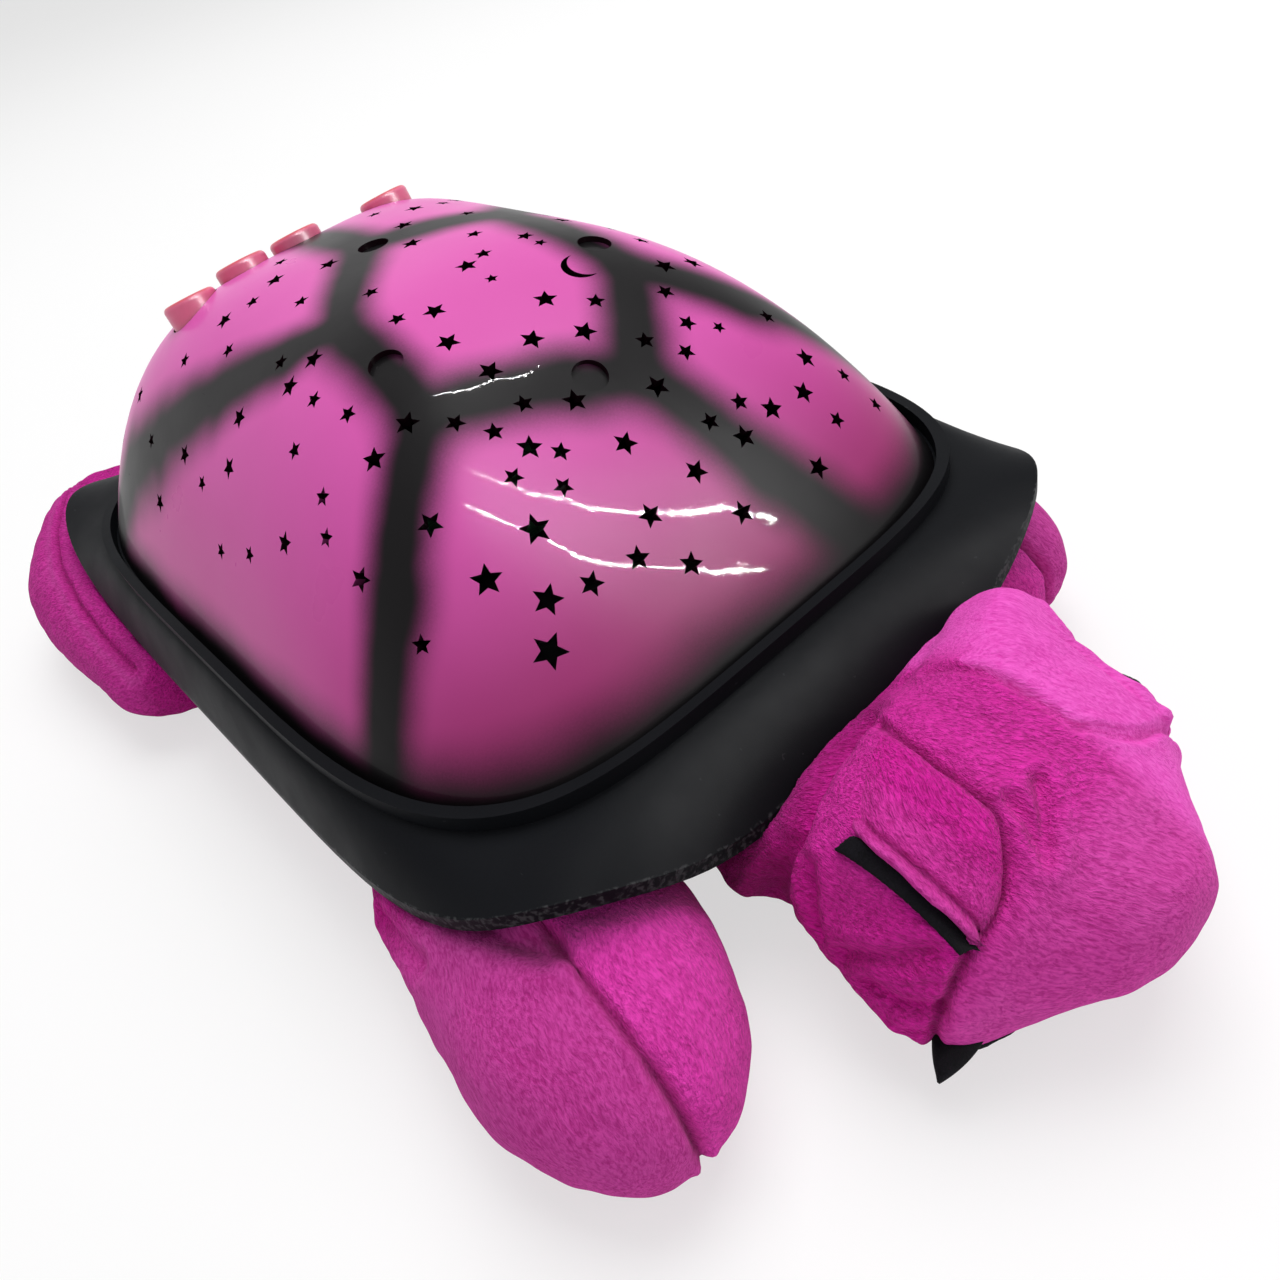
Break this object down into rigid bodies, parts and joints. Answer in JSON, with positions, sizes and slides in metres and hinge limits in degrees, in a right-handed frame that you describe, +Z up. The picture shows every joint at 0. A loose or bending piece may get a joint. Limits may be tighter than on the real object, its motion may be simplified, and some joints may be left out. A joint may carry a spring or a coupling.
{
  "type": "musical night light",
  "caption": "Stuffed turtle with a glossy star-pierced plastic shell that throws stars from lamps inside, with push buttons on the shell, a loudspeaker and a battery bay under a belly flap.",
  "frame": {"origin": "on the floor, under the middle of the toy's bounding box", "axes": "+Z up, head towards -Y, the turtle's left side towards +X"},
  "size_m": [0.2044, 0.3551, 0.1075],
  "materials": {
    "shell_pink": "gloss, sprayed with soft black bands",
    "shell_black": "satin",
    "tray_black": "matt",
    "button_red": "satin",
    "switch_black": "matt",
    "board_green": "satin lacquer",
    "steel": "plated",
    "lamp_red": "clear tinted",
    "lamp_green": "clear tinted",
    "lamp_blue": "clear tinted",
    "lamp_amber": "clear tinted",
    "chip_black": "satin resin",
    "capacitor_can": "sleeved",
    "cone_paper": "matt",
    "magnet": "bare",
    "cell_case": "plain sleeve",
    "plush_magenta": "short pile",
    "felt_black": "felt",
    "hook_black": "hook and loop"
  },
  "bodies": {
    "turtle": {"shell_dome": "shell_pink", "shell_skirt": "shell_black", "base_tray": "tray_black", "housing_screws": "steel", "switch_bodies": "switch_black", "switch_board": "board_green", "switch_board_screws": "steel", "lamp_board": "board_green", "lamp_red": "lamp_red", "lamp_green": "lamp_green", "lamp_blue": "lamp_blue", "lamp_amber": "lamp_amber", "lamp_board_screws": "steel", "sound_chip": "chip_black", "capacitor": "capacitor_can", "speaker_frame": "steel", "speaker_cone": "cone_paper", "speaker_magnet": "magnet", "speaker_clamps": "steel", "speaker_screws": "steel", "battery_cells": "cell_case", "battery_contacts": "steel", "plush_body": "plush_magenta", "plush_head": "plush_magenta", "front_flipper_right": "plush_magenta", "front_flipper_left": "plush_magenta", "rear_flipper_right": "plush_magenta", "rear_flipper_left": "plush_magenta", "eyelid_right": "plush_magenta", "eyelid_left": "plush_magenta", "eye_strip_right": "felt_black", "eye_strip_left": "felt_black", "mouth_felt": "felt_black", "loop_strip": "hook_black"},
    "colour_button_1_body": {"colour_button_1": "button_red", "button_plunger_1": "switch_black"},
    "colour_button_2_body": {"colour_button_2": "button_red", "button_plunger_2": "switch_black"},
    "colour_button_3_body": {"colour_button_3": "button_red", "button_plunger_3": "switch_black"},
    "music_button_body": {"music_button": "button_red", "button_plunger_4": "switch_black"},
    "battery_door_body": {"battery_door": "tray_black", "battery_door_screw": "steel"},
    "belly_flap_body": {"belly_flap": "plush_magenta", "hook_strip": "hook_black"}
  },
  "joints": [
    {"name": "colour_button_1_press", "type": "slide", "parent": "turtle", "child": "colour_button_1_body", "axis": [0, -0.3169, -0.9485], "range_m": [0, 0.001], "stiffness_N_per_m": 1500},
    {"name": "colour_button_2_press", "type": "slide", "parent": "turtle", "child": "colour_button_2_body", "axis": [0, -0.3169, -0.9485], "range_m": [0, 0.001], "stiffness_N_per_m": 1500},
    {"name": "colour_button_3_press", "type": "slide", "parent": "turtle", "child": "colour_button_3_body", "axis": [0, -0.3169, -0.9485], "range_m": [0, 0.001], "stiffness_N_per_m": 1500},
    {"name": "music_button_press", "type": "slide", "parent": "turtle", "child": "music_button_body", "axis": [0, -0.3169, -0.9485], "range_m": [0, 0.001], "stiffness_N_per_m": 1500},
    {"name": "battery_door_lift", "type": "slide", "parent": "turtle", "child": "battery_door_body", "axis": [0, 0, -1], "range_m": [0, 0.01]},
    {"name": "belly_flap_open", "type": "hinge", "parent": "turtle", "child": "belly_flap_body", "pos_m": [0, -0.03515, 0.0006], "axis": [-1, 0, 0], "range_deg": [0, 110]}
  ]
}
